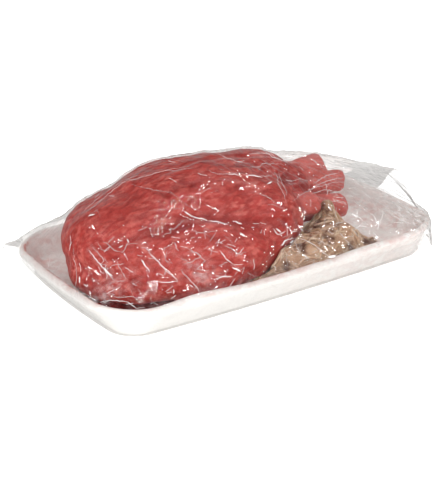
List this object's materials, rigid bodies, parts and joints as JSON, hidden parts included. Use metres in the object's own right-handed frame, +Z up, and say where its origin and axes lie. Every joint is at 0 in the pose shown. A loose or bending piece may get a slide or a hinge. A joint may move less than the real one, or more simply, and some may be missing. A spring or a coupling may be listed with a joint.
{
  "type": "meat tray pack",
  "caption": "Shallow white foam tray with a large raw heart, its cut vessels and a heap of stringy trimmings, closed in clear stretch film with a loose flap at one end.",
  "frame": {"origin": "centre of the tray's flat underside", "axes": "+X along the tray towards the end with the film's loose flap, -Y the front long side, +Z up out of the tray"},
  "size_m": [0.2417, 0.1432, 0.0666],
  "materials": {
    "foam": "white expanded polystyrene, fine bead texture",
    "raw_meat": "moist raw muscle, deep red, finely creased",
    "connective_tissue": "moist tan fibres",
    "clear_film": "clear stretch film, wrinkled, glossy"
  },
  "bodies": {
    "root": {"tray": "foam", "heart": "raw_meat", "trimmings": "connective_tissue", "film": "clear_film"}
  },
  "joints": []
}
